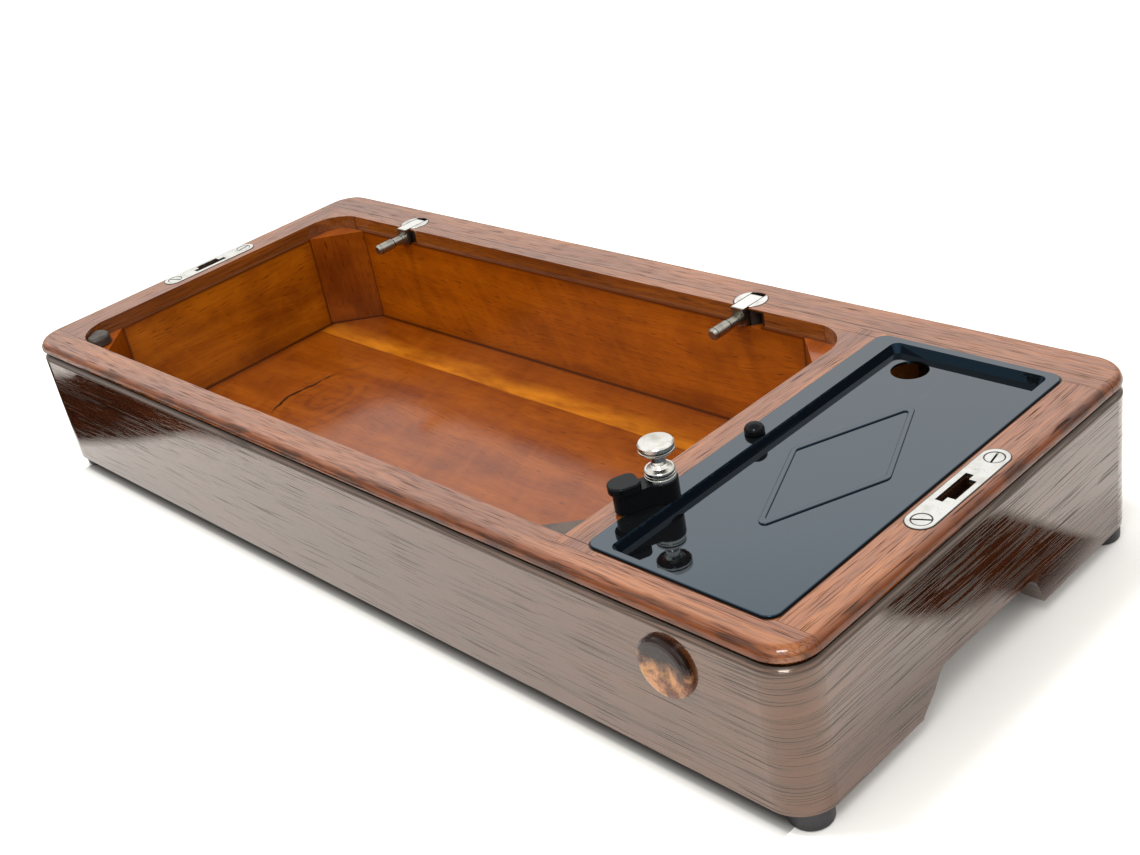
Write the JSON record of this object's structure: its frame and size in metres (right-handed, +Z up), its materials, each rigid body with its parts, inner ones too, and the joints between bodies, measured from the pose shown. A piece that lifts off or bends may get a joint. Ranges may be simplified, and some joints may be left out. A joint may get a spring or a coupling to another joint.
{
  "type": "portable sewing machine base",
  "caption": "Low wooden base for a portable sewing machine: open machine well, hinge pins for the bed, pressed black tray, bed latch, strike plates and rubber feet.",
  "frame": {"origin": "on the ground under the centre of the base's outline, the plug in the front wall included", "axes": "+X along the length towards the tray, +Y from the front wall to the hinge rail, +Z up"},
  "size_m": [0.507, 0.2232, 0.1019],
  "materials": {
    "oak_veneer": "gloss varnished dark oak veneer",
    "rail_oak": "gloss varnished oak",
    "inner_wood": "gloss orange-brown varnish",
    "black_enamel": "gloss black enamel",
    "nickel": "nickel plate, worn",
    "foot_rubber": "matt black",
    "pad_rubber": "grey, worn",
    "plug_wood": "gloss varnished mottled end grain"
  },
  "bodies": {
    "base": {"wall_front": "oak_veneer", "wall_back": "oak_veneer", "wall_left_end": "oak_veneer", "wall_right_end": "oak_veneer", "top_rail_front": "rail_oak", "top_rail_back": "rail_oak", "top_rail_left": "rail_oak", "top_rail_right": "rail_oak", "cross_rail": "rail_oak", "frame_corner_blocks": "rail_oak", "lining_back": "inner_wood", "lining_front": "inner_wood", "lining_left": "inner_wood", "divider": "inner_wood", "floor_board": "inner_wood", "post_front_left": "inner_wood", "post_back_left": "inner_wood", "post_front_right": "inner_wood", "post_back_right": "inner_wood", "rest_pad_left": "pad_rubber", "rest_pad_right": "pad_rubber", "tray": "black_enamel", "tray_stud": "black_enamel", "left_hinge_cup": "nickel", "left_hinge_pivot": "nickel", "right_hinge_cup": "nickel", "right_hinge_pivot": "nickel", "left_strike_plate": "nickel", "left_strike_screws": "nickel", "right_strike_plate": "nickel", "right_strike_screws": "nickel", "foot_front_left": "foot_rubber", "foot_front_right": "foot_rubber", "foot_back_left": "foot_rubber", "foot_back_right": "foot_rubber"},
    "latch_lever": {"latch_lever": "black_enamel"},
    "thumb_washer": {"thumb_washer": "nickel"},
    "thumb_screw": {"thumb_screw": "nickel"},
    "left_hinge_arm": {"left_hinge_arm": "nickel"},
    "right_hinge_arm": {"right_hinge_arm": "nickel"},
    "knee_plug": {"knee_plug": "plug_wood"}
  },
  "joints": [
    {"name": "left_hinge_fold", "type": "hinge", "parent": "base", "child": "left_hinge_arm", "pos_m": [-0.16825, 0.0962, 0.0752], "axis": [-1, 0, 0], "range_deg": [0, 95]},
    {"name": "right_hinge_fold", "type": "hinge", "parent": "base", "child": "right_hinge_arm", "pos_m": [0.07675, 0.0962, 0.0752], "axis": [-1, 0, 0], "range_deg": [0, 95]},
    {"name": "latch_swing", "type": "hinge", "parent": "base", "child": "latch_lever", "pos_m": [0.1554, -0.0564, 0.07845], "axis": [0, 0, 1], "range_deg": [-70, 25]},
    {"name": "washer_lift", "type": "slide", "parent": "base", "child": "thumb_washer", "axis": [0, 0, 1], "range_m": [0, 0.0016]},
    {"name": "thumb_turn", "type": "hinge", "parent": "thumb_washer", "child": "thumb_screw", "pos_m": [0.1554, -0.0564, 0.0882], "axis": [0, 0, 1], "range_deg": [0, 720]},
    {"name": "knee_plug_pull", "type": "slide", "parent": "base", "child": "knee_plug", "axis": [0, -1, 0], "range_m": [0, 0.02]}
  ],
  "couplings": [
    {"joint": "thumb_turn", "follows": "washer_lift", "rad_per_m": 7854}
  ]
}
